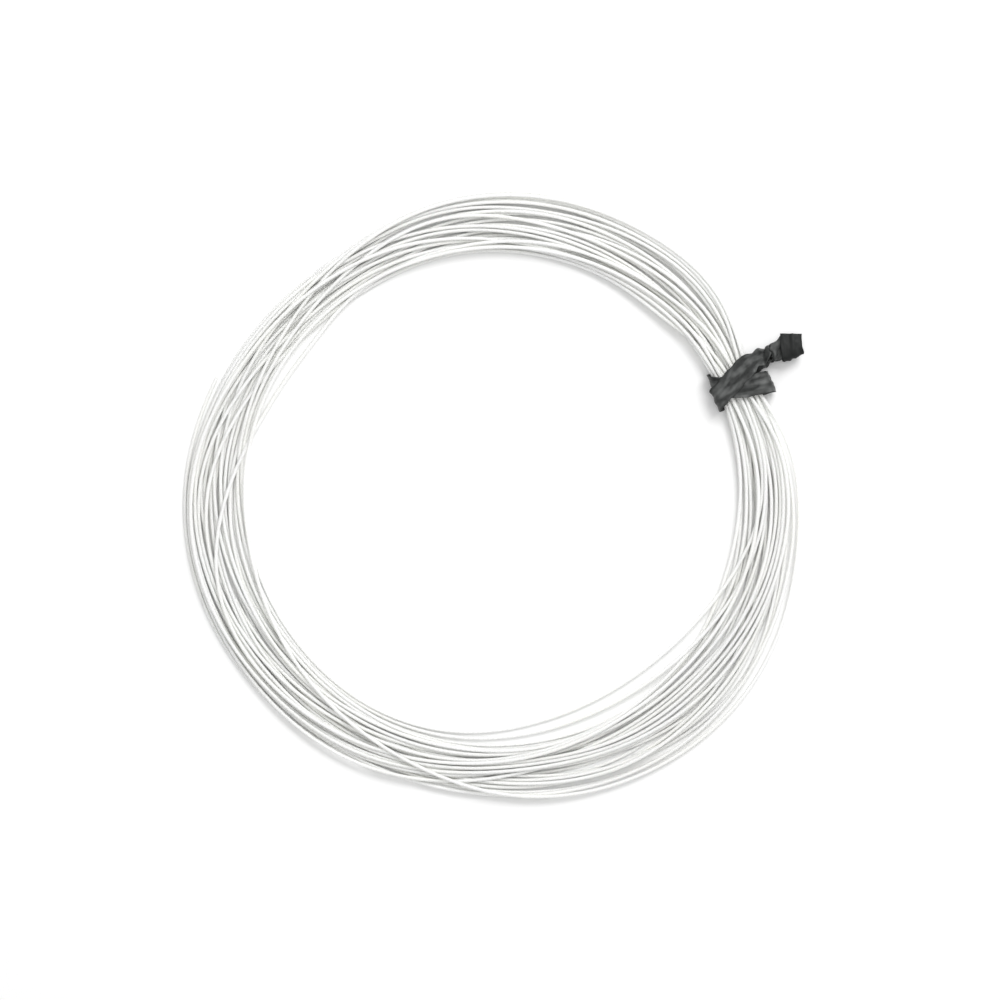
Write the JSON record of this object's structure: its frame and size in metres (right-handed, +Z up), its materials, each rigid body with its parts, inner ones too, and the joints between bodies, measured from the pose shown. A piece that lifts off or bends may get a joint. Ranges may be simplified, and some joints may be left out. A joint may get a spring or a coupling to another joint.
{
  "type": "racket string coil",
  "caption": "Hand-wound coil of thin white racket string lying flat, held together by a black wire-cored twist tie.",
  "frame": {"origin": "on the floor under the middle of the whole part's bounding box", "axes": "+Z up along the coil's axis, +X towards the side where the tie's tail points, with the tie 24 degrees round from +X towards +Y"},
  "size_m": [0.1206, 0.1178, 0.007],
  "materials": {
    "string": "white nylon string with a smooth clear coat",
    "ribbon": "black satin plastic film, crumpled",
    "wire": "thin galvanised soft iron wire"
  },
  "bodies": {
    "root": {"string_coil": "string", "tie_ribbon": "ribbon", "tie_wire": "wire"}
  },
  "joints": []
}
